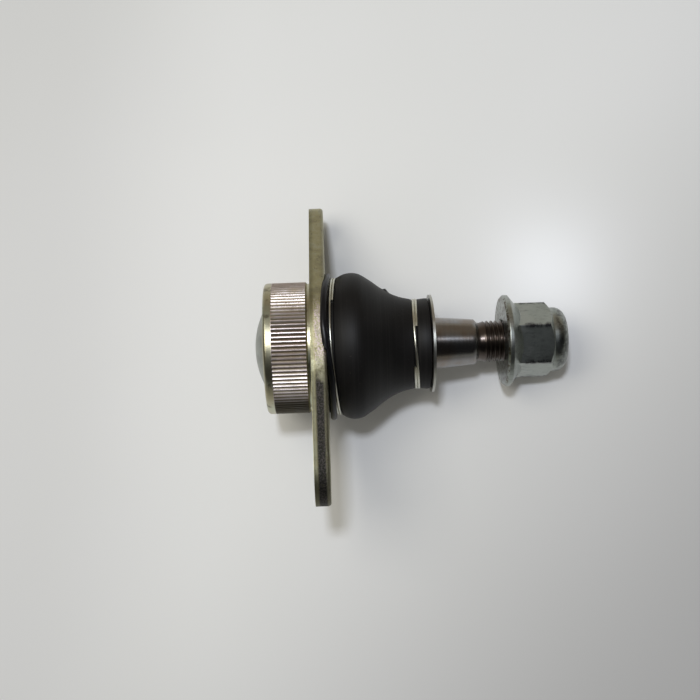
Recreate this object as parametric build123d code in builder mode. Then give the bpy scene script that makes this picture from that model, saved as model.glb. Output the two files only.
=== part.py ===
"""Suspension ball joint: a knurled barrel with a two-bolt plate, and a tapered stud in a ball seat.

Millimetres. The origin is the centre of the plate's seat on the arm, +Z runs along the stud
towards its nut, and +X runs along the plate through its two bolt holes.
"""

import os
from math import cos, radians, sqrt, tan

from build123d import *

# Running and assembly clearances, each on the radius or along the axis
RUNNING_CLEARANCE = 0.05
RUBBER_CLEARANCE = 0.15

# Mounting plate
PLATE_THICKNESS = 5.0
PLATE_INSET = 0.3
BOLT_SPACING = 92.0
BOLT_HOLE_DIAMETER = 10.5
EAR_RADIUS = 11.4
PLATE_DIE_ROLL = 1.1

# Knurled barrel, below the plate
BARREL_DIAMETER = 44.2
BARREL_LENGTH = 15.4
PILOT_LENGTH = 2.8
RELIEF_LENGTH = 1.5
RELIEF_DEPTH = 0.55
RIM_ROUND = 1.2
KNURL_TEETH = 100
KNURL_DEPTH = 0.45
KNURL_OPEN_SHARE = 0.85

# Collar of the barrel, through the plate and up to the boot
PLATE_SEAT_WIDTH = 1.05
BOOT_GROOVE_DEPTH = 0.9
BOOT_GROOVE_LENGTH = 4.1
COLLAR_LIP_LENGTH = 1.3
MOUTH_FLARE = 30.0

# Ball seats
BALL_DIAMETER = 27.0
SEAT_WALL = 2.65
SEAT_TOP = 7.2
SEAT_LIP = 1.2
SEAT_SPLIT = 0.6
SEAT_SLOTS = 6
SEAT_SLOT_WIDTH = 1.6
SEAT_SLOT_HEIGHT = 7.0
SEAT_PASSAGE_DIAMETER = 6.0

# Closing cover, crimped into the barrel's rim
COVER_SEAT_WIDTH = 1.55
COVER_THICKNESS = 1.8
COVER_CRIMP = 0.9
COVER_CRIMP_OVERLAP = 2.3
DOME_HEIGHT = 4.6

# Ball stud
NECK_DIAMETER = 14.4
NECK_FLARE_START = 17.0
NECK_FLARE_END = 26.0
SHOULDER_DIAMETER = 19.0
SHOULDER_HEIGHT = 39.5
SHOULDER_STEP = 0.55
CONE_LENGTH = 15.6
CONE_TAPER = 6.0
UNDERCUT_DIAMETER = 12.8
UNDERCUT_LENGTH = 2.2
UNDERCUT_LEAD = 0.8
THREAD_DIAMETER = 14.0
THREAD_LENGTH = 25.0
THREAD_CHAMFER = 1.2
KEY_SIZE = 6.0
KEY_DEPTH = 5.0

# Neck washer
WASHER_OVERHANG = 1.4
WASHER_THICKNESS = 0.8
WASHER_DISH = 0.5

# Dust boot
BOOT_BASE_WALL = 1.65
BEAD_STAND = 2.5
BEAD_HEIGHT = 2.2
BULGE_INSET = 0.1
BULGE_RISE = 4.7
SLOPE_INSET = 3.6
SLOPE_RISE = 7.2
WAIST_STAND = 1.8
WAIST_DROP = 7.5
BOOT_WALL = 2.0
SLOPE_WALL_DROP = 1.2
WAIST_WALL_DROP = 0.8
BOOT_NECK_DIAMETER = 30.2
NECK_GROOVE_DEPTH = 0.8
NECK_BAND_LENGTH = 3.3
NECK_SEAL_LENGTH = 7.5

# Spiral wire rings that clamp the boot
BASE_WIRE = 0.85
NECK_WIRE = 0.75
WIRE_FUSE = 0.06
BASE_RING_OPEN = (-98.0, -29.0)
NECK_RING_OPEN = (-80.0, -27.0)

# Flanged lock nut
NUT_HEIGHT_ON_STUD = 64.3
NUT_HEX = 22.0
NUT_HEX_TURN = 39.6
NUT_HEX_TOP = 16.2
NUT_HEX_CHAMFER_ANGLE = 40.0
NUT_FLANGE_RIM = 2.8
NUT_FLANGE_EDGE = 2.0
NUT_FLANGE_RISE = 5.7
NUT_FLANGE_CHAMFER = 0.75
NUT_BORE_CHAMFER = 0.6
NUT_COLLAR_STEP = 0.2
NUT_COLLAR_WALL = 1.6
NUT_HEIGHT = 21.4
NUT_COLLAR_ROUND = 3.9
INSERT_HEIGHT = 3.2
INSERT_TOP_COVER = 1.5

# Worked out from the sizes above
barrel_radius = BARREL_DIAMETER / 2
knurl_root_radius = barrel_radius - KNURL_DEPTH
relief_radius = barrel_radius - RELIEF_DEPTH
spigot_radius = relief_radius - PLATE_SEAT_WIDTH
boot_groove_radius = spigot_radius - BOOT_GROOVE_DEPTH
ball_radius = BALL_DIAMETER / 2
seat_sphere_radius = ball_radius + RUNNING_CLEARANCE
seat_radius = ball_radius + RUNNING_CLEARANCE + SEAT_WALL
bore_radius = seat_radius + RUNNING_CLEARANCE
seat_mouth_radius = sqrt(seat_sphere_radius**2 - SEAT_TOP**2)
seat_crown_radius = seat_mouth_radius + SEAT_LIP
seat_crown_start = SEAT_TOP - (seat_radius - seat_crown_radius)
collar_top = PLATE_THICKNESS + BOOT_GROOVE_LENGTH + COLLAR_LIP_LENGTH
cover_radius = bore_radius + COVER_SEAT_WIDTH
cover_rim = -BARREL_LENGTH + COVER_CRIMP
cover_top = cover_rim + COVER_THICKNESS
shoulder_radius = SHOULDER_DIAMETER / 2
cone_start_radius = shoulder_radius - SHOULDER_STEP
cone_end = SHOULDER_HEIGHT + CONE_LENGTH
cone_end_radius = cone_start_radius - CONE_LENGTH / (2 * CONE_TAPER)
undercut_start = cone_end + UNDERCUT_LEAD
thread_start = undercut_start + UNDERCUT_LENGTH
thread_end = thread_start + THREAD_LENGTH
thread_radius = THREAD_DIAMETER / 2
nut_bore_radius = thread_radius + RUNNING_CLEARANCE
lip_bore = spigot_radius + RUBBER_CLEARANCE
base_groove_radius = lip_bore + BOOT_BASE_WALL
bead_radius = base_groove_radius + BEAD_STAND
plate_middle_radius = bead_radius - PLATE_INSET
boot_base = PLATE_THICKNESS + RUBBER_CLEARANCE
boot_bead_top = boot_base + BEAD_HEIGHT
boot_top = SHOULDER_HEIGHT - RUBBER_CLEARANCE
boot_neck_radius = BOOT_NECK_DIAMETER / 2
neck_groove_radius = boot_neck_radius - NECK_GROOVE_DEPTH
neck_groove_top = boot_top - NECK_BAND_LENGTH


def ring_height(wire):
    """Height of a ring of two turns of wire, fused a little where the turns touch."""
    return 2 * wire - WIRE_FUSE


base_groove_top = boot_bead_top + ring_height(BASE_WIRE) + RUBBER_CLEARANCE
neck_groove_start = neck_groove_top - ring_height(NECK_WIRE) - RUBBER_CLEARANCE


def finish(part, name):
    """Label a finished piece and write it as its own STEP file."""
    part.label = name
    export_step(part, f"parts/{name}.step")


os.makedirs("parts", exist_ok=True)

# ---- Barrel: forged and turned steel, knurled where it presses into the arm ----

with BuildPart() as housing:
    with BuildSketch(Plane.XZ):
        with BuildLine():
            Line(
                (cover_radius - COVER_CRIMP_OVERLAP, -BARREL_LENGTH),
                (barrel_radius - RIM_ROUND, -BARREL_LENGTH),
            )
            RadiusArc(
                (barrel_radius - RIM_ROUND, -BARREL_LENGTH),
                (barrel_radius, -BARREL_LENGTH + RIM_ROUND),
                -RIM_ROUND,
            )
            Polyline(
                (barrel_radius, -BARREL_LENGTH + RIM_ROUND),
                (barrel_radius, -RELIEF_LENGTH),
                (relief_radius, -RELIEF_LENGTH + RELIEF_DEPTH),
                (relief_radius, 0),
                (spigot_radius, 0),
                (spigot_radius, PLATE_THICKNESS),
                (boot_groove_radius, PLATE_THICKNESS),
                (boot_groove_radius, PLATE_THICKNESS + BOOT_GROOVE_LENGTH),
                (spigot_radius, PLATE_THICKNESS + BOOT_GROOVE_LENGTH),
                (spigot_radius, collar_top),
                (
                    seat_crown_radius + (collar_top - SEAT_TOP) * tan(radians(MOUTH_FLARE)),
                    collar_top,
                ),
                (seat_crown_radius, SEAT_TOP + RUNNING_CLEARANCE),
                (bore_radius, seat_crown_start + RUNNING_CLEARANCE),
                (bore_radius, cover_top),
                (cover_radius, cover_top),
                (cover_radius, cover_rim),
                (cover_radius - COVER_CRIMP_OVERLAP, cover_rim),
                (cover_radius - COVER_CRIMP_OVERLAP, -BARREL_LENGTH),
            )
        make_face()
    revolve(axis=Axis.Z)
    # V-shaped knurl grooves, drawn past the barrel by their own depth so that they cut through
    with BuildSketch(Plane.XY.offset(-BARREL_LENGTH + PILOT_LENGTH)):
        groove_half = radians(180 / KNURL_TEETH) * barrel_radius * KNURL_OPEN_SHARE
        with PolarLocations(0, KNURL_TEETH):
            Polygon(
                (knurl_root_radius, 0),
                (barrel_radius + KNURL_DEPTH, 2 * groove_half),
                (barrel_radius + KNURL_DEPTH, -2 * groove_half),
                align=None,
            )
    extrude(amount=BARREL_LENGTH - PILOT_LENGTH - RELIEF_LENGTH, mode=Mode.SUBTRACT)

finish(housing.part, "housing")

# ---- Mounting plate: stamped from sheet, pressed over the collar against the barrel ----

with BuildPart() as flange_plate:
    with BuildSketch():
        with GridLocations(BOLT_SPACING, 0, 2, 1):
            Circle(EAR_RADIUS)
        Circle(plate_middle_radius)
        make_hull()
        Circle(spigot_radius, mode=Mode.SUBTRACT)
        with GridLocations(BOLT_SPACING, 0, 2, 1):
            Circle(BOLT_HOLE_DIAMETER / 2, mode=Mode.SUBTRACT)
    extrude(amount=PLATE_THICKNESS)
    rolled_edge = flange_plate.faces().sort_by(Axis.Z)[-1].outer_wire().edges()
    fillet(rolled_edge, PLATE_DIE_ROLL)

finish(flange_plate.part, "flange_plate")

# ---- Closing cover: a domed steel disc crimped under the barrel's rim ----

cover_foot_radius = cover_radius - COVER_CRIMP_OVERLAP - RUNNING_CLEARANCE
dome_radius = (cover_foot_radius**2 + DOME_HEIGHT**2) / (2 * DOME_HEIGHT)
dome_tip = cover_rim - DOME_HEIGHT
inner_dome_radius = dome_radius - COVER_THICKNESS
inner_foot_radius = sqrt(inner_dome_radius**2 - (dome_tip + dome_radius - cover_top) ** 2)

with BuildPart() as closing_cover:
    with BuildSketch(Plane.XZ):
        with BuildLine():
            RadiusArc((0, dome_tip), (cover_foot_radius, cover_rim), -dome_radius)
            Polyline(
                (cover_foot_radius, cover_rim),
                (cover_radius, cover_rim),
                (cover_radius, cover_top),
                (inner_foot_radius, cover_top),
            )
            RadiusArc(
                (inner_foot_radius, cover_top),
                (0, dome_tip + COVER_THICKNESS),
                inner_dome_radius,
            )
            Line((0, dome_tip + COVER_THICKNESS), (0, dome_tip))
        make_face()
    revolve(axis=Axis.Z)

finish(closing_cover.part, "closing_cover")

# ---- Ball seats: two moulded acetal shells that hold the ball in the bore ----

with BuildPart() as upper_ball_seat:
    with BuildSketch(Plane.XZ):
        with BuildLine():
            Polyline(
                (0, 0),
                (seat_radius, 0),
                (seat_radius, seat_crown_start),
                (seat_crown_radius, SEAT_TOP),
                (0, SEAT_TOP),
                close=True,
            )
        make_face()
    revolve(axis=Axis.Z)
    Sphere(seat_sphere_radius, mode=Mode.SUBTRACT)

finish(upper_ball_seat.part, "upper_ball_seat")

# a shell with a passage down to the cover, which the ball's seat opens out
with BuildPart() as lower_ball_seat:
    with BuildSketch(Plane.XZ):
        with BuildLine():
            Polyline(
                (SEAT_PASSAGE_DIAMETER / 2, -SEAT_SPLIT),
                (seat_radius, -SEAT_SPLIT),
                (seat_radius, cover_top),
                (SEAT_PASSAGE_DIAMETER / 2, cover_top),
                close=True,
            )
        make_face()
    revolve(axis=Axis.Z)
    Sphere(seat_sphere_radius, mode=Mode.SUBTRACT)
    # slots that let the shell close on the ball as the cover is crimped
    with PolarLocations(seat_radius, SEAT_SLOTS):
        with Locations((0, 0, cover_top + SEAT_SLOT_HEIGHT / 2)):
            Box(2 * SEAT_WALL, SEAT_SLOT_WIDTH, SEAT_SLOT_HEIGHT, mode=Mode.SUBTRACT)

finish(lower_ball_seat.part, "lower_ball_seat")

# ---- Ball stud: one forging with ball, neck, shoulder, taper and thread ----

with BuildPart() as ball_stud:
    with BuildSketch(Plane.XZ):
        neck_radius = NECK_DIAMETER / 2
        ball_meets_neck = sqrt(ball_radius**2 - neck_radius**2)
        with BuildLine():
            ThreePointArc(
                (0, -ball_radius), (ball_radius, 0), (neck_radius, ball_meets_neck)
            )
            Polyline(
                (neck_radius, ball_meets_neck),
                (neck_radius, NECK_FLARE_START),
                (shoulder_radius, NECK_FLARE_END),
                (shoulder_radius, SHOULDER_HEIGHT),
                (cone_start_radius, SHOULDER_HEIGHT),
                (cone_end_radius, cone_end),
                (UNDERCUT_DIAMETER / 2, undercut_start),
                (UNDERCUT_DIAMETER / 2, thread_start - UNDERCUT_LEAD),
                (thread_radius, thread_start),
                (thread_radius, thread_end),
                (0, thread_end),
                (0, -ball_radius),
            )
        make_face()
    revolve(axis=Axis.Z)
    end_face = ball_stud.faces().sort_by(Axis.Z)[-1]
    chamfer(end_face.outer_wire().edges(), THREAD_CHAMFER)
    # hexagon socket that holds the stud still while its nut is turned
    with BuildSketch(Plane.XY.offset(thread_end)):
        RegularPolygon(KEY_SIZE / 2, 6, major_radius=False)
    extrude(amount=-KEY_DEPTH, mode=Mode.SUBTRACT)

finish(ball_stud.part, "ball_stud")

# ---- Neck washer: thin dished steel, on the stud's shoulder above the boot ----

with BuildPart() as neck_washer:
    with BuildSketch(Plane.XZ):
        washer_bore = cone_start_radius + RUNNING_CLEARANCE
        washer_radius = boot_neck_radius + WASHER_OVERHANG
        with BuildLine():
            Polyline(
                (washer_bore, SHOULDER_HEIGHT),
                (shoulder_radius, SHOULDER_HEIGHT),
                (washer_radius, SHOULDER_HEIGHT - WASHER_DISH + WASHER_THICKNESS),
                (washer_radius, SHOULDER_HEIGHT - WASHER_DISH + 2 * WASHER_THICKNESS),
                (shoulder_radius, SHOULDER_HEIGHT + WASHER_THICKNESS),
                (washer_bore, SHOULDER_HEIGHT + WASHER_THICKNESS),
                close=True,
            )
        make_face()
    revolve(axis=Axis.Z)

finish(neck_washer.part, "neck_washer")

# ---- Dust boot: moulded rubber, gripped in the collar's groove and round the stud ----

with BuildPart() as dust_boot:
    with BuildSketch(Plane.XZ):
        base_bore = boot_groove_radius + RUBBER_CLEARANCE
        lip_start = PLATE_THICKNESS + BOOT_GROOVE_LENGTH - RUBBER_CLEARANCE
        lip_end = collar_top + RUBBER_CLEARANCE
        bead_core = bead_radius - BEAD_HEIGHT / 2
        bulge_radius = bead_radius - BULGE_INSET
        bulge_height = base_groove_top + BULGE_RISE
        slope_radius = bulge_radius - SLOPE_INSET
        slope_height = bulge_height + SLOPE_RISE
        waist_radius = boot_neck_radius + WAIST_STAND
        waist_height = neck_groove_start - WAIST_DROP
        neck_bore = shoulder_radius + RUBBER_CLEARANCE
        seal_start = boot_top - NECK_SEAL_LENGTH
        with BuildLine():
            Line((base_bore, boot_base), (bead_core, boot_base))
            ThreePointArc(
                (bead_core, boot_base),
                (bead_radius, boot_base + BEAD_HEIGHT / 2),
                (bead_core, boot_bead_top),
            )
            Polyline(
                (bead_core, boot_bead_top),
                (base_groove_radius, boot_bead_top),
                (base_groove_radius, base_groove_top),
                (base_groove_radius + BASE_WIRE, base_groove_top),
            )
            Spline(
                (base_groove_radius + BASE_WIRE, base_groove_top),
                (bulge_radius, bulge_height),
                (slope_radius, slope_height),
                (waist_radius, waist_height),
                (boot_neck_radius, neck_groove_start),
                tangents=((1, 1.4), (-0.2, 1)),
            )
            Polyline(
                (boot_neck_radius, neck_groove_start),
                (neck_groove_radius, neck_groove_start),
                (neck_groove_radius, neck_groove_top),
                (boot_neck_radius, neck_groove_top),
                (boot_neck_radius, boot_top),
                (neck_bore, boot_top),
                (neck_bore, seal_start),
            )
            Spline(
                (neck_bore, seal_start),
                (waist_radius - BOOT_WALL, waist_height - WAIST_WALL_DROP),
                (slope_radius - BOOT_WALL, slope_height - SLOPE_WALL_DROP),
                (bulge_radius - BOOT_WALL, bulge_height),
                (lip_bore, lip_end),
            )
            Polyline(
                (lip_bore, lip_end),
                (lip_bore, lip_start),
                (base_bore, lip_start),
                (base_bore, boot_base),
            )
        make_face()
    revolve(axis=Axis.Z)

finish(dust_boot.part, "dust_boot")


# ---- Clamp rings: spring wire wound a little under two turns, open on one side ----


def clamp_ring(groove_radius, wire, height, opening):
    """Two turns of wire side by side; the second is missing between the two opening angles."""
    wire_radius = wire / 2
    mean_radius = groove_radius + RUNNING_CLEARANCE + wire_radius
    start, end = opening
    with BuildPart() as ring:
        with BuildSketch(Plane.XZ):
            with Locations((mean_radius, height + wire_radius)):
                Circle(wire_radius)
        revolve(axis=Axis.Z)
        with BuildSketch(Plane.XZ.rotated((0, 0, end))):
            with Locations((mean_radius, height + 3 * wire_radius - WIRE_FUSE)):
                Circle(wire_radius)
        revolve(axis=Axis.Z, revolution_arc=360 + start - end)
    return ring.part


base_ring = clamp_ring(base_groove_radius, BASE_WIRE, boot_bead_top, BASE_RING_OPEN)
finish(base_ring, "base_clamp_ring")
neck_ring = clamp_ring(
    neck_groove_radius,
    NECK_WIRE,
    neck_groove_start + RUBBER_CLEARANCE,
    NECK_RING_OPEN,
)
finish(neck_ring, "neck_clamp_ring")

# ---- Lock nut: hexagon, wide flange and a rolled collar that holds the nylon insert ----

nut_top = NUT_HEIGHT_ON_STUD + NUT_HEIGHT
insert_top = nut_top - INSERT_TOP_COVER
insert_bottom = insert_top - INSERT_HEIGHT
collar_radius = NUT_HEX / 2 - NUT_COLLAR_STEP
insert_radius = collar_radius - NUT_COLLAR_WALL
flange_radius = NUT_HEX / 2 / cos(radians(30)) + NUT_FLANGE_RIM
hex_top = NUT_HEIGHT_ON_STUD + NUT_HEX_TOP
corner_cut = (flange_radius - collar_radius) * tan(radians(NUT_HEX_CHAMFER_ANGLE))

with BuildPart() as lock_nut:
    with BuildSketch(Plane.XY.offset(NUT_HEIGHT_ON_STUD + NUT_FLANGE_EDGE)):
        RegularPolygon(NUT_HEX / 2, 6, major_radius=False, rotation=NUT_HEX_TURN)
    extrude(amount=NUT_HEX_TOP - NUT_FLANGE_EDGE)
    # the hexagon's corners are turned down to the collar
    with BuildSketch(Plane.XZ):
        with BuildLine():
            Polyline(
                (0, NUT_HEIGHT_ON_STUD),
                (flange_radius, NUT_HEIGHT_ON_STUD),
                (flange_radius, hex_top - corner_cut),
                (collar_radius, hex_top),
                (0, hex_top),
                close=True,
            )
        make_face()
    revolve(axis=Axis.Z, mode=Mode.INTERSECT)
    with BuildSketch(Plane.XZ):
        with BuildLine():
            Polyline(
                (0, NUT_HEIGHT_ON_STUD),
                (flange_radius - NUT_FLANGE_CHAMFER, NUT_HEIGHT_ON_STUD),
                (flange_radius, NUT_HEIGHT_ON_STUD + NUT_FLANGE_CHAMFER),
                (flange_radius, NUT_HEIGHT_ON_STUD + NUT_FLANGE_EDGE),
                (collar_radius, NUT_HEIGHT_ON_STUD + NUT_FLANGE_RISE),
                (collar_radius, nut_top - NUT_COLLAR_ROUND),
            )
            RadiusArc(
                (collar_radius, nut_top - NUT_COLLAR_ROUND),
                (collar_radius - NUT_COLLAR_ROUND, nut_top),
                -NUT_COLLAR_ROUND,
            )
            Line((collar_radius - NUT_COLLAR_ROUND, nut_top), (0, nut_top))
            Line((0, nut_top), (0, NUT_HEIGHT_ON_STUD))
        make_face()
    revolve(axis=Axis.Z)
    with Locations((0, 0, NUT_HEIGHT_ON_STUD)):
        Hole(nut_bore_radius)
    with Locations((0, 0, (insert_bottom + insert_top) / 2)):
        Cylinder(insert_radius, INSERT_HEIGHT, mode=Mode.SUBTRACT)
    flange_seat = lock_nut.faces().sort_by(Axis.Z)[0]
    chamfer(flange_seat.inner_wires().edges(), NUT_BORE_CHAMFER)

finish(lock_nut.part, "lock_nut")

with BuildPart() as nylon_insert:
    with BuildSketch(Plane.XY.offset(insert_bottom)):
        Circle(insert_radius - RUNNING_CLEARANCE)
        Circle(nut_bore_radius, mode=Mode.SUBTRACT)
    extrude(amount=INSERT_HEIGHT)

finish(nylon_insert.part, "nylon_insert")
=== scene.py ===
import math

import bmesh
import bpy
import numpy as np
from mathutils import Matrix, Vector


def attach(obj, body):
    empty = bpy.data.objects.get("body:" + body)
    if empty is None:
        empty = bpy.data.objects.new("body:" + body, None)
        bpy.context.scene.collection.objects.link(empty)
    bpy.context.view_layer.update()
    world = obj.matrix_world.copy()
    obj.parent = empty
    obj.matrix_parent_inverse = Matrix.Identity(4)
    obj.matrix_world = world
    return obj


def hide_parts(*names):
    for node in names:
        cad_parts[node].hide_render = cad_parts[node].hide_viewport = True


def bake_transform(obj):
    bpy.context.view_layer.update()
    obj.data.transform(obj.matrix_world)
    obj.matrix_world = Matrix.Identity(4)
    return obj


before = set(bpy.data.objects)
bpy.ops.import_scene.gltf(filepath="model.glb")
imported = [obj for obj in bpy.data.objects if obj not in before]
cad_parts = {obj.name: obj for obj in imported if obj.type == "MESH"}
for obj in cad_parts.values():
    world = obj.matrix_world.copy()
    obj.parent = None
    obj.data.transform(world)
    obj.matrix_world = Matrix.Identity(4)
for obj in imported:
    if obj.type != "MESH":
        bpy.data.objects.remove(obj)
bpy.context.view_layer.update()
MM = 0.001

# ---------------------------------------------------------------------------
# Camera: close above the joint, which lies on its side, and looking straight
# down on it.
# ---------------------------------------------------------------------------

VIEW_AZIMUTH = math.radians(32.4)
VIEW_ELEVATION = math.radians(-0.82)
VIEW_ROLL = math.radians(-1.99)
VIEW_DISTANCE = 350 * MM
VIEW_AIM = (12.82 * MM, -0.90 * MM)
IMAGE_SIDE = 700
FOCAL_PIXELS = 1032
SENSOR = 36.0

toward = Vector(
    (
        math.sin(VIEW_AZIMUTH) * math.cos(VIEW_ELEVATION),
        -math.cos(VIEW_AZIMUTH) * math.cos(VIEW_ELEVATION),
        math.sin(VIEW_ELEVATION),
    )
)
level_right = (Vector((0, 0, 1)) - toward * toward.z).normalized()
level_up = toward.cross(level_right)
right = level_right * math.cos(VIEW_ROLL) + level_up * math.sin(VIEW_ROLL)
up = level_up * math.cos(VIEW_ROLL) - level_right * math.sin(VIEW_ROLL)

camera_data = bpy.data.cameras.new("camera")
camera_data.sensor_width = SENSOR
camera_data.lens = SENSOR * FOCAL_PIXELS / IMAGE_SIDE
camera_data.clip_start = 0.01
camera_data.clip_end = 20
camera = bpy.data.objects.new("camera", camera_data)
bpy.context.scene.collection.objects.link(camera)
camera.matrix_world = Matrix.Translation(
    toward * VIEW_DISTANCE + right * VIEW_AIM[0] + up * VIEW_AIM[1]
) @ Matrix((right, up, toward)).transposed().to_4x4()
bpy.context.scene.camera = camera
bpy.context.scene.view_settings.view_transform = "Standard"

# ---------------------------------------------------------------------------
# Table top: a glossy white board. An ear of the plate, the boot and the nut's
# flange rest on it.
# ---------------------------------------------------------------------------


class Field:
    """A shader socket that takes part in Python arithmetic; each operation adds its Math node."""

    def __init__(self, finish, socket):
        self.finish = finish
        self.socket = socket

    def maths(self, operation, *values):
        node = self.finish.node("ShaderNodeMath", {"operation": operation}, values)
        return Field(self.finish, node.outputs[0])

    def __add__(self, other):
        return self.maths("ADD", self, other)

    __radd__ = __add__

    def __mul__(self, other):
        return self.maths("MULTIPLY", self, other)

    def __sub__(self, other):
        return self.maths("SUBTRACT", self, other)

    def __rsub__(self, other):
        return self.maths("SUBTRACT", other, self)

    def __pow__(self, other):
        return self.maths("POWER", self, other)

    def between(self, low, high):
        """0 under low and 1 over high, with a smooth rise; the other way round if low is over high."""
        node = self.finish.node(
            "ShaderNodeMapRange",
            {"interpolation_type": "SMOOTHSTEP"},
            {"Value": self, "From Min": low, "From Max": high},
        )
        return Field(self.finish, node.outputs["Result"])


class Finish:
    """A node material with one Principled shader, read in the part's own coordinates."""

    def __init__(self, name, **shader_values):
        self.material = bpy.data.materials.new(name)
        self.material.use_nodes = True
        self.tree = self.material.node_tree
        self.shader = self.tree.nodes["Principled BSDF"]
        for socket, value in shader_values.items():
            self.shader.inputs[socket.replace("_", " ")].default_value = value
        self.place = self.node("ShaderNodeTexCoord").outputs["Object"]
        apart = self.node("ShaderNodeSeparateXYZ", {}, {"Vector": self.place})
        self.x = Field(self, apart.outputs["X"])
        self.y = Field(self, apart.outputs["Y"])
        self.z = Field(self, apart.outputs["Z"])

    def node(self, kind, settings=None, values=()):
        """Adds a node, its settings first, then the values or links of its sockets."""
        node = self.tree.nodes.new(kind)
        for setting, value in (settings or {}).items():
            if setting == "stops":
                for stop, (at, colour) in zip(self.stops(node, len(value)), value):
                    stop.position = at
                    stop.color = (*colour, 1)
            else:
                setattr(node, setting, value)
        pairs = values.items() if isinstance(values, dict) else enumerate(values)
        for socket, value in pairs:
            if isinstance(value, Field):
                value = value.socket
            if isinstance(value, bpy.types.NodeSocket):
                self.tree.links.new(value, node.inputs[socket])
            else:
                node.inputs[socket].default_value = value
        return node

    def stops(self, node, count):
        while len(node.color_ramp.elements) < count:
            node.color_ramp.elements.new(0.5)
        return node.color_ramp.elements

    def radius(self):
        """Distance from the stud's axis, in metres."""
        return (self.x * self.x + self.y * self.y) ** 0.5

    def turn(self):
        """Angle round the stud's axis, in radians."""
        return self.y.maths("ARCTAN2", self.y, self.x)

    def noise(self, scale, detail=3.0, roughness=0.55, stretch=(1, 1, 1)):
        """Noise from 0 to 1, its grain about 1 / scale metres, drawn out along any axis."""
        mapped = self.node("ShaderNodeMapping", {}, {"Vector": self.place, "Scale": stretch})
        values = {"Vector": mapped.outputs[0], "Scale": scale, "Detail": detail, "Roughness": roughness}
        return Field(self, self.node("ShaderNodeTexNoise", {}, values).outputs[0])

    def around(self, scale_round, scale_along, detail=2.0):
        """Noise on the unrolled surface of a turned piece: grain along the turn or along the axis."""
        unrolled = self.node(
            "ShaderNodeCombineXYZ",
            {},
            (self.turn() * scale_round, self.z * scale_along, self.radius() * scale_along),
        )
        values = {"Vector": unrolled.outputs[0], "Scale": 1.0, "Detail": detail}
        return Field(self, self.node("ShaderNodeTexNoise", {}, values).outputs[0])

    def ramp(self, factor, *stops):
        """A colour that changes with a field, by stops of (position, colour)."""
        node = self.node("ShaderNodeValToRGB", {"stops": stops}, {"Fac": factor})
        return node.outputs["Color"]

    def mix(self, factor, first, second):
        """One colour or the other, by factor."""
        node = self.node("ShaderNodeMix", {"data_type": "RGBA"}, {0: factor, 6: first, 7: second})
        return node.outputs[2]

    def colour(self, socket):
        """Makes a colour the base colour."""
        self.tree.links.new(socket, self.shader.inputs["Base Color"])

    def rough(self, field):
        """Makes a field the roughness."""
        self.tree.links.new(field.socket, self.shader.inputs["Roughness"])

    def bump(self, height, depth, rounding=0.0):
        """Relief from a field of 0 to 1, depth metres high; rounding softens the piece's own edges."""
        values = {"Height": height, "Distance": depth, "Strength": 1.0}
        if rounding:
            soft = self.node("ShaderNodeBevel", {"samples": 6}, {"Radius": rounding})
            values["Normal"] = soft.outputs[0]
        node = self.node("ShaderNodeBump", {}, values)
        self.tree.links.new(node.outputs[0], self.shader.inputs["Normal"])

    def on(self, piece):
        """Puts this finish on a piece."""
        piece.data.materials.clear()
        piece.data.materials.append(self.material)
        return piece


# The table's plane: its normal towards the camera's side, and how far it lies from the ball's centre.
TABLE_NORMAL = Vector((0.319, -0.931, -0.175)).normalized()
TABLE_OFFSET = -26.85 * MM
TABLE_SIZE = 3.0

table_mesh = bpy.data.meshes.new("table")
table_turn = TABLE_NORMAL.to_track_quat("Z", "Y").to_matrix().to_4x4()
table_corners = [
    table_turn @ Vector((sx * TABLE_SIZE, sy * TABLE_SIZE, TABLE_OFFSET))
    for sx, sy in ((-1, -1), (1, -1), (1, 1), (-1, 1))
]
table_mesh.from_pydata(table_corners, [], [(0, 1, 2, 3)])
table = bpy.data.objects.new("table", table_mesh)
bpy.context.scene.collection.objects.link(table)

table_top = Finish("table_top", Specular_IOR_Level=0.075)
haze = table_top.noise(9, 2, 0.5)
white = table_top.ramp(haze, (0.3, (0.83, 0.83, 0.82)), (0.7, (0.85, 0.85, 0.85)))
# the light falls off towards the lower right corner, and a little to the left
across = table_top.x * right.x + table_top.y * right.y + table_top.z * right.z
upward = table_top.x * up.x + table_top.y * up.y + table_top.z * up.z
corner = (0.151 + across * 6.5 - upward * 5.5).between(0.2, 1.75)
left_edge = (across * -11.9 - 0.283).between(0, 1)
dimmed = table_top.mix(corner * 0.76 + left_edge * 0.22, white, (0.36, 0.355, 0.36, 1))
table_top.colour(dimmed)
table_top.rough(0.17 + haze * 0.05)
# the table top bows a little, so its sheen looks a few degrees off its plane
SHEEN_NORMAL = right * -0.19 + up * 0.094 + toward * 0.977
bowed = table_top.node("ShaderNodeCombineXYZ", {}, tuple(SHEEN_NORMAL.normalized()))
table_top.tree.links.new(bowed.outputs[0], table_top.shader.inputs["Normal"])
# from behind, the table lets the other views through
facing = table_top.node("ShaderNodeNewGeometry").outputs["Backfacing"]
clear = table_top.node("ShaderNodeBsdfTransparent").outputs[0]
shown = table_top.node("ShaderNodeMixShader", {}, (facing, table_top.shader.outputs[0], clear))
table_top.tree.links.new(shown.outputs[0], table_top.tree.nodes["Material Output"].inputs["Surface"])
table_top.on(table)

# ---------------------------------------------------------------------------
# Room and lamps: metal sees the room dark overhead, brown above the part and
# pale along the table. A ceiling lamp makes the glints, and a wide window at
# the left gives the soft light.
# ---------------------------------------------------------------------------

world = bpy.data.worlds.new("room")
bpy.context.scene.world = world
world.use_nodes = True
room = world.node_tree
looking = room.nodes.new("ShaderNodeTexCoord")


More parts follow.
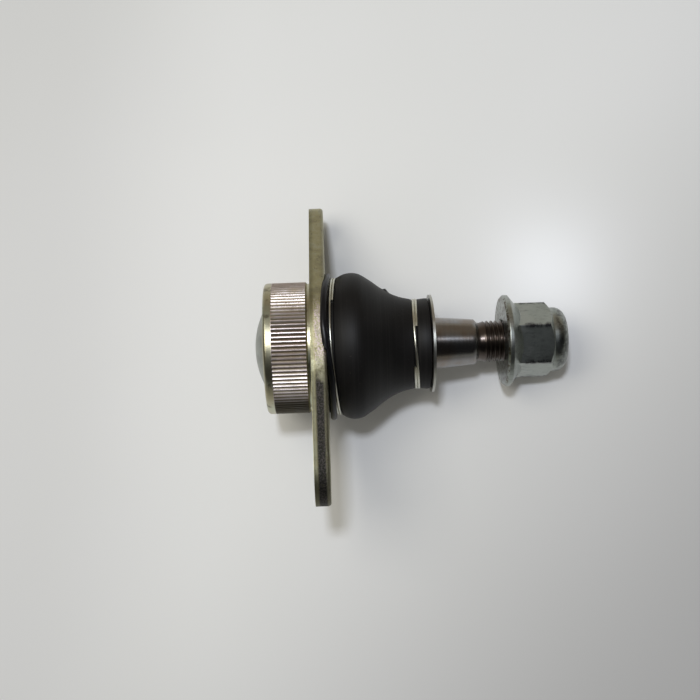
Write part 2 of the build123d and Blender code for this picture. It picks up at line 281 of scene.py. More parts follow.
def along(axis, *stops):
    """The room's colour as it changes from the table's horizon, or the part's middle, to an axis."""
    share = room.nodes.new("ShaderNodeVectorMath")
    share.operation = "DOT_PRODUCT"
    share.inputs[1].default_value = axis
    room.links.new(looking.outputs["Generated"], share.inputs[0])
    tint = room.nodes.new("ShaderNodeValToRGB")
    for stop, (at, colour) in zip(tint.color_ramp.elements, stops):
        stop.position = at
        stop.color = (*colour, 1)
    room.links.new(share.outputs["Value"], tint.inputs["Fac"])
    return tint.outputs["Color"]


horizon = along(TABLE_NORMAL, (0.0, (0.36, 0.36, 0.32)), (0.26, (0.014, 0.014, 0.015)))
wooden_wall = along(up, (0.2, (0.004, 0.004, 0.004)), (0.8, (0.24, 0.20, 0.15)))
walls = room.nodes.new("ShaderNodeVectorMath")
room.links.new(horizon, walls.inputs[0])
room.links.new(wooden_wall, walls.inputs[1])
rays = room.nodes.new("ShaderNodeLightPath")
level = room.nodes.new("ShaderNodeMix")
level.data_type = "RGBA"
level.inputs[6].default_value = (0.28, 0.275, 0.255, 1)
room.links.new(rays.outputs["Is Glossy Ray"], level.inputs[0])
room.links.new(walls.outputs[0], level.inputs[7])
backdrop = room.nodes.new("ShaderNodeMix")
backdrop.data_type = "RGBA"
backdrop.inputs[7].default_value = (0.64, 0.64, 0.64, 1)
room.links.new(rays.outputs["Is Camera Ray"], backdrop.inputs[0])
room.links.new(level.outputs[2], backdrop.inputs[6])
room.links.new(backdrop.outputs[2], room.nodes["Background"].inputs["Color"])


def lamp(name, direction, distance, size, power, colour, aim):
    """A square lamp that looks at a point beside the part from a direction: right, up and toward the
    camera. The point is given as right and up too."""
    lamp_data = bpy.data.lights.new(name, "AREA")
    lamp_data.size = size
    lamp_data.energy = power
    lamp_data.color = colour
    lit = bpy.data.objects.new(name, lamp_data)
    bpy.context.scene.collection.objects.link(lit)
    away = (right * direction[0] + up * direction[1] + toward * direction[2]).normalized()
    lit.location = right * aim[0] + up * aim[1] + away * distance
    lit.rotation_mode = "QUATERNION"
    lit.rotation_quaternion = away.to_track_quat("Z", "Y")


lamp("ceiling_lamp", (-0.09, 0.27, 0.95), 0.8, 0.09, 2.55, (0.85, 0.90, 1.0), (0.0, 0.02))
lamp("side_window", (-0.4, 0.26, 0.88), 0.45, 0.28, 0.76, (1.0, 0.96, 0.84), (-0.05, 0.02))

# ---------------------------------------------------------------------------
# Barrel: turned steel with a rolled knurl, zinc plated and yellow passivated.
# It is pressed into the arm, and its rim is crimped over the closing cover.
# ---------------------------------------------------------------------------

KNURL_CREST = 22.1 * MM
KNURL_ROOT = 21.65 * MM
KNURL_BAND = (-12.6 * MM, -1.4 * MM)
SMOOTHING = 0.2 * MM
barrel_finish = Finish("barrel_plating", Metallic=1.0)
crest = barrel_finish.radius().between(KNURL_ROOT, KNURL_CREST)
knurled = barrel_finish.z.between(KNURL_BAND[0] - SMOOTHING, KNURL_BAND[0]) * barrel_finish.z.between(
    KNURL_BAND[1] + SMOOTHING, KNURL_BAND[1]
)
stain = barrel_finish.noise(240, 5, 0.6)
film = barrel_finish.noise(80, 3, 0.5)
passivated = barrel_finish.ramp(
    film, (0.35, (0.46, 0.42, 0.28)), (0.5, (0.50, 0.48, 0.35)), (0.65, (0.50, 0.54, 0.43))
)
rubbed = barrel_finish.ramp(
    film, (0.35, (0.60, 0.52, 0.50)), (0.5, (0.70, 0.63, 0.64)), (0.65, (0.54, 0.42, 0.32))
)
plated = barrel_finish.mix(knurled * crest, passivated, rubbed)
# painted shade: the knurl is painted dark olive on its side that lies lowest as seen from the camera
reach_on_barrel = barrel_finish.x * up.x + barrel_finish.y * up.y
knurl_painted_shade = reach_on_barrel.between(-0.0155, -0.0185) * knurled
plated = barrel_finish.mix(knurl_painted_shade * 0.9, plated, (0.085, 0.082, 0.055, 1))
stained = barrel_finish.mix(
    stain.between(0.55, 0.66) * (0.7 - knurled * 0.4), plated, (0.13, 0.115, 0.08, 1)
)
dark_root = (1 - crest) * knurled
barrel_finish.colour(barrel_finish.mix(dark_root * 0.85, stained, (0.16, 0.12, 0.085, 1)))
barrel_finish.rough(0.24 + stain * 0.16 + dark_root * 0.2 + knurled * 0.06)
tooled = barrel_finish.noise(1400, 3, 0.6)
barrel_finish.bump(stain * 0.4 + tooled * 0.6 * knurled, 0.00009)
barrel_finish.on(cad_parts["housing"])

# ---------------------------------------------------------------------------
# Mounting plate: 5 mm sheet, blanked, so its edge is half sheared and half
# torn. It is zinc plated, with an olive yellow passivation.
# ---------------------------------------------------------------------------

PLATE_TOP = 5.0 * MM
plate_finish = Finish("plate_plating", Metallic=1.0)
torn = plate_finish.z.between(0.16 * PLATE_TOP, 0.32 * PLATE_TOP)
edge_on = plate_finish.z.between(0.01 * PLATE_TOP, 0.03 * PLATE_TOP) * plate_finish.z.between(
    0.998 * PLATE_TOP, 0.98 * PLATE_TOP
)
grit = plate_finish.noise(1900, 4, 0.7)
pits = plate_finish.noise(620, 4, 0.65)
patches = plate_finish.noise(60, 3, 0.5) * 0.5 + plate_finish.noise(330, 4, 0.6) * 0.5
# along the edge as seen from the camera: painted highlight of glints in the middle, painted shade towards
# the lower ear
reach = plate_finish.x * up.x + plate_finish.y * up.y
painted_glint_band = reach.between(-0.007, -0.001) * reach.between(0.018, 0.010)
painted_shade_end = (reach + (patches - 0.5) * 0.03).between(0.001, -0.012)
olive = plate_finish.ramp(
    patches, (0.38, (0.31, 0.29, 0.17)), (0.5, (0.42, 0.39, 0.22)), (0.6, (0.44, 0.43, 0.28))
)
core = plate_finish.z.between(0.1 * PLATE_TOP, 0.34 * PLATE_TOP) * plate_finish.z.between(
    0.92 * PLATE_TOP, 0.7 * PLATE_TOP
)
# the edge's outer bands are a darker olive, and darker still towards the lower ear, where this is painted
# shade
edge_bands_and_shade = plate_finish.mix((painted_shade_end * 0.5 + 0.4) * edge_on * (1 - core), olive, (0.15, 0.145, 0.10, 1))
# painted shade: the middle of the edge is painted nearly black towards the lower ear
core_in_painted_shade = plate_finish.mix(painted_shade_end * core, edge_bands_and_shade, (0.03, 0.03, 0.025, 1))
# painted highlight: pink glints on the torn zone, strong in the middle band; elsewhere only faint specks of
# bare steel
specks_and_painted_glints = plate_finish.mix(
    grit.between(0.44, 0.6) * torn * edge_on * (0.08 + painted_glint_band * 0.8), core_in_painted_shade, (0.66, 0.55, 0.58, 1)
)
plate_finish.colour(plate_finish.mix(pits.between(0.44, 0.32) * 0.45, specks_and_painted_glints, (0.09, 0.085, 0.06, 1)))
plate_finish.rough(0.3 + grit * 0.2 + painted_shade_end * edge_on * 0.15)
plate_finish.bump((grit * 0.6 + pits * 0.5) * (0.3 + torn * 0.7) * edge_on, 0.00035)
plate_finish.on(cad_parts["flange_plate"])

# ---------------------------------------------------------------------------
# Closing cover: a domed disc pressed from zinc plated sheet, crimped under
# the barrel's rim, with a few handling marks.
# ---------------------------------------------------------------------------

cover_finish = Finish("cover_plating", Metallic=1.0)
cover_marks = cover_finish.noise(220, 5, 0.65)
cover_finish.colour(
    cover_finish.ramp(
        cover_marks, (0.35, (0.30, 0.31, 0.28)), (0.55, (0.44, 0.46, 0.42)), (0.7, (0.48, 0.48, 0.43))
    )
)
cover_finish.rough(0.3 + cover_marks * 0.3)
cover_finish.bump(cover_marks, 0.00005)
cover_finish.on(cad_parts["closing_cover"])

# ---------------------------------------------------------------------------
# Ball seats: two shells of pale moulded acetal round the ball, inside the
# barrel.
# ---------------------------------------------------------------------------

acetal = Finish("acetal")
flow = acetal.noise(120, 3, 0.5)
acetal.colour(acetal.ramp(flow, (0.3, (0.80, 0.79, 0.74)), (0.7, (0.87, 0.86, 0.82))))
acetal.rough(0.38 + flow * 0.12)
for seat in ("upper_ball_seat", "lower_ball_seat"):
    acetal.on(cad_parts[seat])

# ---------------------------------------------------------------------------
# Ball stud: one steel forging, ground on the taper, with a rolled M14 x 1.5
# thread above an undercut and a hexagon socket in its end. Its ball sits in
# the seats.
# ---------------------------------------------------------------------------


def new_piece(name, mesh, body, *nodes):
    """Links a finished mesh as a piece that rides on a body and stands for CAD nodes."""
    piece = bpy.data.objects.new(name, mesh)
    bpy.context.scene.collection.objects.link(piece)
    if body:
        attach(piece, body)
    if nodes:
        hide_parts(*nodes)
    return piece


def lathe(name, rows, shape, around, closed=False):
    """A turned mesh, in metres. shape gives a row's radii and heights, in millimetres, at each angle; a
    closed one joins its last row to its first."""
    angles = np.linspace(0, 2 * math.pi, around, endpoint=False)
    points = []
    for row in range(rows):
        radii, heights = shape(row, angles)
        across = np.stack([radii * np.cos(angles), radii * np.sin(angles), heights], axis=1)
        points.extend((across * MM).tolist())
    faces = []
    last = rows if closed else rows - 1
    for row in range(last):
        low = row * around
        high = ((row + 1) % rows) * around
        for k in range(around):
            n = (k + 1) % around
            faces.append((low + k, low + n, high + n, high + k))
    mesh = bpy.data.meshes.new(name)
    mesh.from_pydata(points, [], faces)
    sewn = bmesh.new()
    sewn.from_mesh(mesh)
    bmesh.ops.remove_doubles(sewn, verts=sewn.verts, dist=1e-6)
    bmesh.ops.recalc_face_normals(sewn, faces=sewn.faces)
    sewn.to_mesh(mesh)
    sewn.free()
    mesh.shade_smooth()
    return mesh


def spaced(outline, step):
    """Points of a polyline of (radius, height), with more added so that none is further apart than step."""
    points = []
    for (r0, z0), (r1, z1) in zip(outline, outline[1:]):
        count = max(1, math.ceil(math.hypot(r1 - r0, z1 - z0) / step))
        for k in range(count):
            share = k / count
            points.append((r0 + (r1 - r0) * share, z0 + (z1 - z0) * share))
    points.append(outline[-1])
    return points


BALL_RADIUS = 13.5
NECK_RADIUS = 7.2
SHOULDER_RADIUS = 9.5
SHOULDER_HEIGHT = 39.5
TAPER_TOP_RADIUS = 8.95
TAPER_END = 55.1
TAPER_END_RADIUS = 7.65
UNDERCUT_RADIUS = 6.4
THREAD_START = 57.6
THREAD_END = 83.1
THREAD_RADIUS = 7.0
THREAD_DEPTH = 0.8
THREAD_PITCH = 1.5
THREAD_LEAD_IN = 0.8
THREAD_LEAD_DROP = 0.3
THREAD_CHAMFER = 1.0
ROWS_PER_PITCH = 10
KEY_HALF_WIDTH = 3.0
KEY_FLOOR = 78.1
AROUND_STUD = 126
STUD_SHARP = math.radians(35)
ball_arc = [
    (BALL_RADIUS * math.cos(a), BALL_RADIUS * math.sin(a))
    for a in np.linspace(-math.pi / 2, math.acos(NECK_RADIUS / BALL_RADIUS), 48)
]
ball_arc[0] = (0.0, -BALL_RADIUS)
stud_outline = spaced(
    [
        (NECK_RADIUS, 17.0),
        (SHOULDER_RADIUS, 26.0),
        (SHOULDER_RADIUS, SHOULDER_HEIGHT),
        (TAPER_TOP_RADIUS, SHOULDER_HEIGHT + 0.02),
        (TAPER_END_RADIUS, TAPER_END - 0.3),
        (TAPER_END_RADIUS - 0.25, TAPER_END),
        (UNDERCUT_RADIUS + 0.15, TAPER_END + 0.75),
        (UNDERCUT_RADIUS, TAPER_END + 1.1),
        (UNDERCUT_RADIUS, THREAD_START - 0.9),
        (THREAD_RADIUS - THREAD_LEAD_DROP, THREAD_START),
    ],
    1.2,
)
thread_rows = int((THREAD_END - THREAD_START) / THREAD_PITCH * ROWS_PER_PITCH)
thread_heights = np.linspace(THREAD_START, THREAD_END - THREAD_CHAMFER, thread_rows)[1:]
key_socket = [(KEY_HALF_WIDTH, THREAD_END), (KEY_HALF_WIDTH, KEY_FLOOR), (0.0, KEY_FLOOR)]
stud_points = (
    ball_arc
    + stud_outline
    + [(THREAD_RADIUS, z) for z in thread_heights]
    + [(THREAD_RADIUS - THREAD_CHAMFER, THREAD_END)]
    + spaced(key_socket, 1.5)
)
thread_first = len(ball_arc) + len(stud_outline)
thread_last = thread_first + len(thread_heights)
socket_first = thread_last + 1


def stud_shape(row, angles):
    """The stud's radius and height at a row: round, a right-handed helix on the thread, a hexagon in
    the key's socket."""
    r, z = stud_points[row]
    if row >= socket_first:
        return r / np.cos(angles % (math.pi / 3) - math.pi / 6), np.full(len(angles), z)
    if not thread_first <= row < thread_last:
        return np.full(len(angles), r), np.full(len(angles), z)
    phase = (z / THREAD_PITCH - angles / (2 * math.pi)) % 1.0
    groove = np.clip(1.25 * (1 - np.abs(2 * phase - 1)) - 0.125, 0, 1)
    fade = min(1.0, (z - THREAD_START) / THREAD_PITCH, (THREAD_END - z) / THREAD_PITCH)
    crest = r - THREAD_LEAD_DROP * (1 - min(1.0, (z - THREAD_START) / THREAD_LEAD_IN))
    return crest - THREAD_DEPTH * groove * fade, np.full(len(angles), z)


stud_mesh = lathe("stud_forging", len(stud_points), stud_shape, AROUND_STUD)
stud_mesh.set_sharp_from_angle(angle=STUD_SHARP)
stud = new_piece("stud_forging", stud_mesh, "stud", "ball_stud")

stud_finish = Finish("ground_steel", Metallic=1.0, Anisotropic=0.75, Anisotropic_Rotation=0.25)
grind = stud_finish.around(0.5, 7000, 3)
heat = stud_finish.noise(130, 4, 0.6)
# above the ground taper, the undercut and the thread keep a dark skin from the heat treatment
oxide = stud_finish.z.between((TAPER_END - 0.3) * MM, (TAPER_END + 1.1) * MM)
ground = stud_finish.ramp(grind, (0.3, (0.24, 0.235, 0.235)), (0.7, (0.34, 0.335, 0.335)))
warm = stud_finish.mix(heat.between(0.42, 0.66) * 0.6, ground, (0.25, 0.19, 0.14, 1))
stud_finish.colour(stud_finish.mix(oxide * 0.88, warm, (0.105, 0.082, 0.07, 1)))
stud_finish.rough(0.2 + grind * 0.08 + oxide * 0.08)
stud_finish.bump(grind, 0.000006)
stud_finish.on(stud)

# ---------------------------------------------------------------------------
# Neck washer: thin dished steel against the stud's shoulder, zinc plated. It
# keeps the boot's lip off the knuckle.
# ---------------------------------------------------------------------------

washer_finish = Finish("washer_plating", Metallic=1.0)
washer_marks = washer_finish.noise(300, 4, 0.6)
washer_finish.colour(
    washer_finish.ramp(washer_marks, (0.35, (0.40, 0.40, 0.36)), (0.65, (0.54, 0.54, 0.50)))
)
washer_finish.rough(0.22 + washer_marks * 0.25)
washer_finish.bump(washer_marks, 0.00003)
washer_finish.on(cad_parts["neck_washer"])

# ---------------------------------------------------------------------------
# Dust boot: moulded black rubber, with a bead on the plate, a groove for its
# base ring, one round bulge and a thick neck that grips the stud.
# ---------------------------------------------------------------------------

BOOT_BASE = 5.15
BEAD_RADIUS = 24.8
BEAD_HEIGHT = 2.2
BASE_GROOVE_RADIUS = 22.3
BASE_GROOVE_TOP = 9.15
BOOT_NECK_RADIUS = 15.1
NECK_GROOVE_RADIUS = 14.3
NECK_GROOVE = (34.46, 36.05)
BOOT_TOP = 39.35
BOOT_BORE = 9.7
bulge_points = [
    (23.15, 9.25),
    (24.1, 10.9),
    (24.6, 12.6),
    (24.7, 14.3),
    (24.3, 16.35),
    (23.2, 18.3),
    (21.35, 21.0),
    (19.3, 23.7),
    (17.35, 26.9),
    (16.0, 30.3),
    (15.3, 33.3),
]


def flowing(points, step):
    """A smooth curve through a few (radius, height) points, by Catmull-Rom segments."""
    p = [np.array(point, float) for point in (points[0], *points, points[-1])]
    curve = []
    for a, b, c, d in zip(p, p[1:], p[2:], p[3:]):
        count = max(2, int(np.linalg.norm(c - b) / step))
        for t in np.arange(count) / count:
            bend = (2 * a - 5 * b + 4 * c - d) * t**2 + (3 * b - a - 3 * c + d) * t**3
            curve.append(tuple((2 * b + (c - a) * t + bend) / 2))
    curve.append(tuple(points[-1]))
    return curve


# The boot sits a little crooked: its bead is pulled down on the side that faces the camera, and the neck
# with its ring leans. The low side faces the camera, and the high side lies a quarter turn on.
LOW_SIDE = math.radians(-57.6)
HIGH_SIDE = math.radians(32.4)
# in millimetres: the mean shift, the rise at the low side, the rise at the high side, the pull
BASE_LEAN = (0, 0, 0.35, -1.8)
NECK_LEAN = (-0.2, -1.15, 0.1, 0)


def pulled(angles):
    """1 on the side that faces the camera, falling to 0 a quarter turn away."""
    return np.maximum(0, np.cos(angles - LOW_SIDE)) ** 1.5


def neck_lean(angles):
    """How far the neck's groove lies above its drawn height, in millimetres."""
    shift, low, high, _ = NECK_LEAN
    return shift + low * np.cos(angles - LOW_SIDE) + high * np.cos(angles - HIGH_SIDE)


def foot_lean(angles):
    """How far the foot rises on its high side, in millimetres."""
    return BASE_LEAN[2] * np.cos(angles - HIGH_SIDE)


# The foot is moulded with the boot, up to the parting line at its widest point; it stays on the barrel.
PARTING = (24.7, 14.3)
PARTING_INSIDE = 22.6
FOOT_BORE = 19.75
FOOT_SAG = 1.5
SAG_FADES_OVER = 5.0
AROUND_BOOT = 160
BOOT_SHARP = math.radians(50)
bulge = flowing(bulge_points, 0.45)
parted = min(row for row, point in enumerate(bulge) if point[1] >= PARTING[1])
bulge[parted] = PARTING
foot_outside = (
    [(BASE_GROOVE_RADIUS, BOOT_BASE), (BASE_GROOVE_RADIUS, BOOT_BASE + BEAD_HEIGHT)]
    + [(BASE_GROOVE_RADIUS, BASE_GROOVE_TOP - 0.3), (BASE_GROOVE_RADIUS + 0.3, BASE_GROOVE_TOP - 0.02)]
    + bulge[: parted + 1]
)
foot_inside = [
    (PARTING_INSIDE, PARTING[1]),
    (22.4, 12.4),
    (20.7, 10.6),
    (20.7, 9.0),
    (FOOT_BORE, 8.9),
    (FOOT_BORE, BOOT_BASE),
]
foot_points = foot_outside + spaced(foot_inside, 0.8)
sagging = range(2, len(foot_outside))


def foot_shape(row, angles):
    """The foot's radius and height at a row: its outside sags with the bead, and not at the parting line."""
    r, z = foot_points[row]
    share = max(0.0, min(1.0, (PARTING[1] - z) / SAG_FADES_OVER)) if row in sagging else 0
    return np.full(len(angles), r), z + share * (foot_lean(angles) - FOOT_SAG * pulled(angles))


foot_mesh = lathe("foot_moulding", len(foot_points), foot_shape, AROUND_BOOT, closed=True)
foot_mesh.set_sharp_from_angle(angle=BOOT_SHARP)
foot = new_piece("boot_foot", foot_mesh, "barrel")

boot_outside = bulge[parted:]
boot_neck = [
    (BOOT_NECK_RADIUS + 0.05, NECK_GROOVE[0] - 0.3),
    (BOOT_NECK_RADIUS - 0.15, NECK_GROOVE[0] - 0.02),
    (NECK_GROOVE_RADIUS, NECK_GROOVE[0] + 0.15),
    (NECK_GROOVE_RADIUS, NECK_GROOVE[1] - 0.15),
    (BOOT_NECK_RADIUS - 0.2, NECK_GROOVE[1]),
    (BOOT_NECK_RADIUS, NECK_GROOVE[1] + 0.25),
]
boot_rim = [
    (BOOT_NECK_RADIUS + 0.25, BOOT_TOP - 1.0),
    (BOOT_NECK_RADIUS + 0.2, BOOT_TOP - 0.2),
    (BOOT_NECK_RADIUS - 0.1, BOOT_TOP),
]
boot_inside = [
    (BOOT_BORE, BOOT_TOP),
    (BOOT_BORE, 31.8),
    (14.4, 27.6),
    (18.8, 20.6),
    (PARTING_INSIDE, PARTING[1]),
]
boot_points = boot_outside + boot_neck + boot_rim + spaced(boot_inside, 0.8)
leaning = range(len(boot_outside), len(boot_outside + boot_neck))
# a nub left by the mould's vent, high on the shoulder: its angle, height, size and rise
VENT_NUB = (math.radians(-142), 25.4, 0.75, 0.8)


def boot_shape(row, angles):
    """The boot's radius and height at a row: the neck leans, and the outside carries the nub."""
    r, z = boot_points[row]
    lean = neck_lean(angles) if row in leaning else 0 * angles
    radii = np.full(len(angles), r)
    if row < len(boot_outside):
        place, height, size, rise = VENT_NUB
        away = 2 * (1 - np.cos(angles - place)) * r * r + (z - height) ** 2
        radii = radii + rise * np.exp(-away / size**2)
    return radii, z + lean


boot_mesh = lathe("boot_moulding", len(boot_points), boot_shape, AROUND_BOOT, closed=True)
boot_mesh.set_sharp_from_angle(angle=BOOT_SHARP)
boot = new_piece("rubber_boot", boot_mesh, None, "dust_boot")

rubber = Finish("boot_rubber", Specular_IOR_Level=0.22)
dust = rubber.noise(1100, 4, 0.7)
bloom = rubber.noise(70, 3, 0.5)
mould_lines = rubber.around(0.3, 2600, 2)
black = rubber.ramp(bloom, (0.3, (0.0036, 0.0034, 0.0034)), (0.7, (0.0072, 0.0066, 0.0066)))
lined = rubber.mix(mould_lines.between(0.5, 0.75) * 0.35, black, (0.020, 0.019, 0.018, 1))
rubbed_dust = dust.between(0.66, 0.73) * bloom.between(0.42, 0.6)
rubber.colour(rubber.mix(rubbed_dust * 0.5, lined, (0.075, 0.065, 0.055, 1)))
rubber.rough(0.44 + bloom * 0.14)
rubber.bump(dust * 0.4 + mould_lines * 0.6, 0.00005)
rubber.on(foot)
rubber.on(boot)
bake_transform(boot)

# ---------------------------------------------------------------------------
# Boot bead: the boot's own thick rim, smooth and shiny, which seals on the
# plate. On the camera's side it has slipped over the plate's edge.
# ---------------------------------------------------------------------------

BEAD_DROP = 2.0
BEAD_BULGE = 1.3
# how far the plate's edge lies from the axis under the bead: round, then straight towards either ear
PLATE_MIDDLE_RADIUS = 24.5
PLATE_TOP_CLEAR = 5.1
FLANKS = (math.radians(-106.5), math.radians(-73.5))
BEAD_POINTS = 28
AROUND_BEAD = 192


def signed(angles):
    """The same angles, from half a turn back to half a turn on from the low side."""
    return (angles - LOW_SIDE + math.pi) % (2 * math.pi) - math.pi + LOW_SIDE


def bead_shape(row, angles):
    """A rounded section that keeps clear of the plate's corner where it hangs over the edge."""
    around_section = 2 * math.pi * row / BEAD_POINTS
    past_round = np.maximum(FLANKS[0] - signed(angles), signed(angles) - FLANKS[1])
    past_round = np.clip(past_round, 0, 1.2)
    drop = pulled(angles) * np.clip(1 - past_round / 0.75, 0, 1)
    outer = BEAD_RADIUS + BEAD_BULGE * drop
    middle = (outer + BASE_GROOVE_RADIUS) / 2
    wave = np.sign(math.cos(around_section)) * abs(math.cos(around_section)) ** 0.7
    rise = np.sign(math.sin(around_section)) * abs(math.sin(around_section)) ** 0.8
    r = middle + (outer - BASE_GROOVE_RADIUS) / 2 * wave
    z = BOOT_BASE + BEAD_HEIGHT / 2 - BEAD_DROP * drop + foot_lean(angles) + BEAD_HEIGHT / 2 * rise
    edge = PLATE_MIDDLE_RADIUS / np.cos(past_round) + 0.12
    inside = (r < edge) & (z < PLATE_TOP_CLEAR)
    nearer_edge = inside & (edge - r < 0.6 * (PLATE_TOP_CLEAR - z))
    r = np.where(nearer_edge, edge, r)
    z = np.where(inside & ~nearer_edge, PLATE_TOP_CLEAR, z)
    return r, z


bead_mesh = lathe("bead_moulding", BEAD_POINTS, bead_shape, AROUND_BEAD, closed=True)
bead = new_piece("boot_bead", bead_mesh, "barrel")

bead_finish = Finish("bead_rubber", Specular_IOR_Level=0.3)
wiped = bead_finish.noise(160, 3, 0.5)
bead_finish.colour(bead_finish.ramp(wiped, (0.3, (0.003, 0.003, 0.004)), (0.7, (0.006, 0.006, 0.008))))
bead_finish.rough(0.24 + wiped * 0.16)
bead_finish.bump(bead_finish.noise(1500, 3, 0.6), 0.00003)
bead_finish.on(bead)

# ---------------------------------------------------------------------------
# Clamp rings: drawn spring wire, wound just short of two turns. The ends lie
# on the side that faces the camera.
# ---------------------------------------------------------------------------

ring_finish = Finish("ring_wire", Metallic=1.0)
drawn = ring_finish.noise(180, 3, 0.5)
ring_finish.colour(ring_finish.ramp(drawn, (0.3, (0.52, 0.50, 0.40)), (0.6, (0.68, 0.68, 0.60))))
ring_finish.rough(0.24 + drawn * 0.14)
POINTS_ALONG_WIRE = 480
POINTS_ROUND_WIRE = 12


def wire_ring(name, groove_radius, wire, height, opening, lean):
    """A ring built by Geometry Nodes: a circle swept along a winding of nearly two turns, open in its
    second turn between two angles in degrees."""
    tree = bpy.data.node_groups.new(name + "_winding", "GeometryNodeTree")
    tree.interface.new_socket("Geometry", in_out="OUTPUT", socket_type="NodeSocketGeometry")
    sizes = {
        "Ring Radius": (groove_radius + wire / 2 + 0.05) * MM,
        "Wire Radius": wire / 2 * MM,
        "Height": (height + wire / 2) * MM,
        "Pitch": (wire - 0.03) * MM,
        "Turn From": math.radians(opening[1]),
        "Turn Sweep": math.radians(720 + opening[0] - opening[1]),
        "Mean Shift": lean[0] * MM,
        "Low Side": lean[1] * MM,
        "High Side": lean[2] * MM,
        "Pull": lean[3] * MM,
    }
    for label in sizes:
        tree.interface.new_socket(label, in_out="INPUT", socket_type="NodeSocketFloat")
    material_socket = tree.interface.new_socket(
        "Wire Finish", in_out="INPUT", socket_type="NodeSocketMaterial"
    )
    given = tree.nodes.new("NodeGroupInput")
    result = tree.nodes.new("NodeGroupOutput")

    def add(kind, values, **settings):
        node = tree.nodes.new(kind)
        for setting, value in settings.items():
            setattr(node, setting, value)
        for socket, value in values.items():
            if isinstance(value, bpy.types.NodeSocket):
                tree.links.new(value, node.inputs[socket])
            else:
                node.inputs[socket].default_value = value
        return node.outputs[0]

    def maths(operation, first, second):
        return add("ShaderNodeMath", {0: first, 1: second}, operation=operation)

    line = add("GeometryNodeCurvePrimitiveLine", {})
    wound = add("GeometryNodeResampleCurve", {"Curve": line, "Count": POINTS_ALONG_WIRE})
    share = add("GeometryNodeSplineParameter", {})
    turned = maths("MULTIPLY", share, given.outputs["Turn Sweep"])
    angle = maths("ADD", given.outputs["Turn From"], turned)
    # the wire steps over to its second turn on the far side
    step = add(
        "ShaderNodeMapRange",
        {"Value": share, "From Min": 0.42, "From Max": 0.58},
        interpolation_type="SMOOTHSTEP",
    )
    lift = maths("ADD", given.outputs["Height"], maths("MULTIPLY", step, given.outputs["Pitch"]))
    # the ring leans with the boot, and dips where the boot is pulled down
    low = maths("COSINE", maths("SUBTRACT", angle, LOW_SIDE), 0)
    high = maths("COSINE", maths("SUBTRACT", angle, HIGH_SIDE), 0)
    dip = maths("POWER", maths("MAXIMUM", low, 0), 1.5)
    for label, part in (("Low Side", low), ("High Side", high), ("Pull", dip)):
        lift = maths("ADD", lift, maths("MULTIPLY", given.outputs[label], part))
    lift = maths("ADD", lift, given.outputs["Mean Shift"])
    ring_x = maths("MULTIPLY", given.outputs["Ring Radius"], maths("COSINE", angle, 0))
    ring_y = maths("MULTIPLY", given.outputs["Ring Radius"], maths("SINE", angle, 0))
    place = add("ShaderNodeCombineXYZ", {"X": ring_x, "Y": ring_y, "Z": lift})
    wound = add("GeometryNodeSetPosition", {"Geometry": wound, "Position": place})
    section = add(
        "GeometryNodeCurvePrimitiveCircle",
        {"Resolution": POINTS_ROUND_WIRE, "Radius": given.outputs["Wire Radius"]},
    )
    swept = add(
        "GeometryNodeCurveToMesh", {"Curve": wound, "Profile Curve": section, "Fill Caps": True}
    )
    real = add("GeometryNodeRealizeInstances", {"Geometry": swept})
    finished = add(
        "GeometryNodeSetMaterial", {"Geometry": real, "Material": given.outputs["Wire Finish"]}
    )
    tree.links.new(finished, result.inputs[0])

    start = bpy.data.objects.new(name + "_start", bpy.data.meshes.new(name + "_start"))
    bpy.context.scene.collection.objects.link(start)
    modifier = start.modifiers.new("winding", "NODES")
    modifier.node_group = tree
    for item in tree.interface.items_tree:
        if item.in_out == "INPUT" and item.name in sizes:
            modifier[item.identifier] = sizes[item.name]
    modifier[material_socket.identifier] = ring_finish.material
    bpy.context.view_layer.update()
    shape = start.evaluated_get(bpy.context.evaluated_depsgraph_get())
    mesh = bpy.data.meshes.new_from_object(shape)
    mesh.name = name
    mesh.shade_smooth()
    bpy.data.objects.remove(start)
    return mesh


base_seat = BOOT_BASE + BEAD_HEIGHT
base_winding = wire_ring("base_ring_wire", BASE_GROOVE_RADIUS, 0.9, base_seat, (-98, -29), BASE_LEAN)
neck_winding = wire_ring(
    "neck_ring_wire", NECK_GROOVE_RADIUS, 0.95, NECK_GROOVE[0], (-80, -27), NECK_LEAN
)
base_ring = new_piece("base_ring_wire", base_winding, "barrel", "base_clamp_ring")
neck_ring = new_piece("neck_ring_wire", neck_winding, "boot_neck", "neck_clamp_ring")

# ---------------------------------------------------------------------------
# Lock nut: cold formed steel hexagon with a wide flange and a rolled collar,
# zinc plated with a clear, faintly green passivation. Spanners rubbed its
# corners and collar dark.
# ---------------------------------------------------------------------------

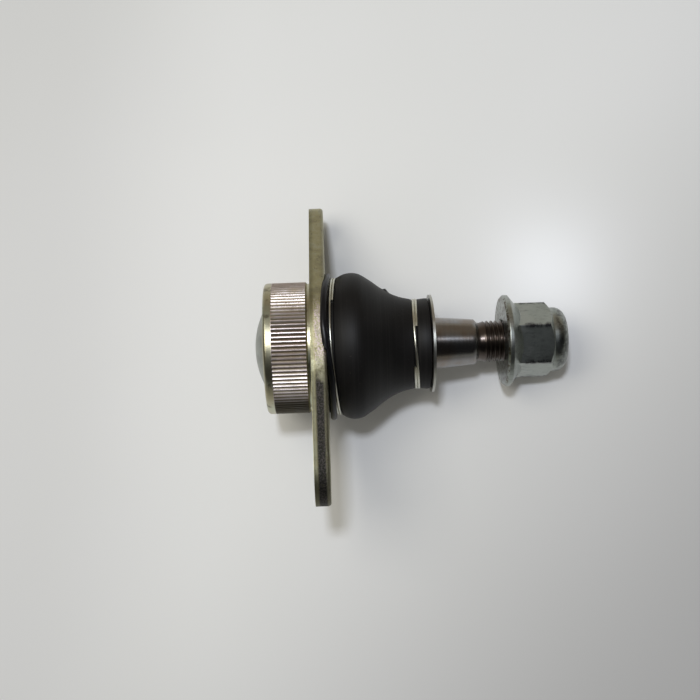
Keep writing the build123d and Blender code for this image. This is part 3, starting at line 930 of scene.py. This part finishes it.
FLANGE_FACE = 64.3 * MM
HEXAGON_BASE = 69.9 * MM
HEXAGON_CORNER = 12.45 * MM
COLLAR_BASE = 80.8 * MM
nut_finish = Finish("nut_plating", Metallic=1.0)
nut_cloud = nut_finish.noise(110, 4, 0.6)
nut_scratch = nut_finish.noise(800, 5, 0.7, (1, 1, 0.4))
seated = nut_finish.z.between(FLANGE_FACE + 0.9 * MM, FLANGE_FACE + 0.4 * MM)
pale = nut_finish.ramp(
    nut_cloud, (0.3, (0.31, 0.335, 0.31)), (0.5, (0.38, 0.41, 0.38)), (0.7, (0.43, 0.445, 0.42))
)
scuffed = nut_finish.mix(nut_scratch.between(0.51, 0.68) * 0.5, pale, (0.13, 0.13, 0.13, 1))
corners = nut_finish.radius().between(HEXAGON_CORNER - 0.45 * MM, HEXAGON_CORNER)
corners = corners * nut_finish.z.between(HEXAGON_BASE, HEXAGON_BASE + 1 * MM)
collar = nut_finish.z.between(COLLAR_BASE, COLLAR_BASE + 1.3 * MM)
spanner_marks = nut_finish.noise(420, 4, 0.7)
rubbed = nut_finish.mix(
    (corners + collar * 0.75) * spanner_marks.between(0.36, 0.6), scuffed, (0.085, 0.085, 0.088, 1)
)
rust = nut_finish.noise(620, 4, 0.7).between(0.5, 0.54)
nut_finish.colour(nut_finish.mix(rust * seated * 0.85, rubbed, (0.10, 0.075, 0.055, 1)))
nut_finish.rough(0.18 + nut_cloud * 0.13 + nut_scratch * 0.12)
nut_finish.bump(nut_scratch * 0.6 + nut_finish.noise(350, 3, 0.6) * 0.4, 0.00006, 0.0005)
nut_finish.on(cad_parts["lock_nut"])

# ---------------------------------------------------------------------------
# Nylon insert: a pale moulded ring under the nut's collar. It grips the
# thread, so that the nut does not shake loose.
# ---------------------------------------------------------------------------

nylon = Finish("nylon")
nylon_flow = nylon.noise(400, 3, 0.5)
nylon.colour(nylon.ramp(nylon_flow, (0.3, (0.70, 0.70, 0.64)), (0.7, (0.80, 0.80, 0.75))))
nylon.rough(0.4 + nylon_flow * 0.12)
nylon.on(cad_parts["nylon_insert"])

# ---------------------------------------------------------------------------
# The scene is brought up to date.
# ---------------------------------------------------------------------------

bpy.context.view_layer.update()
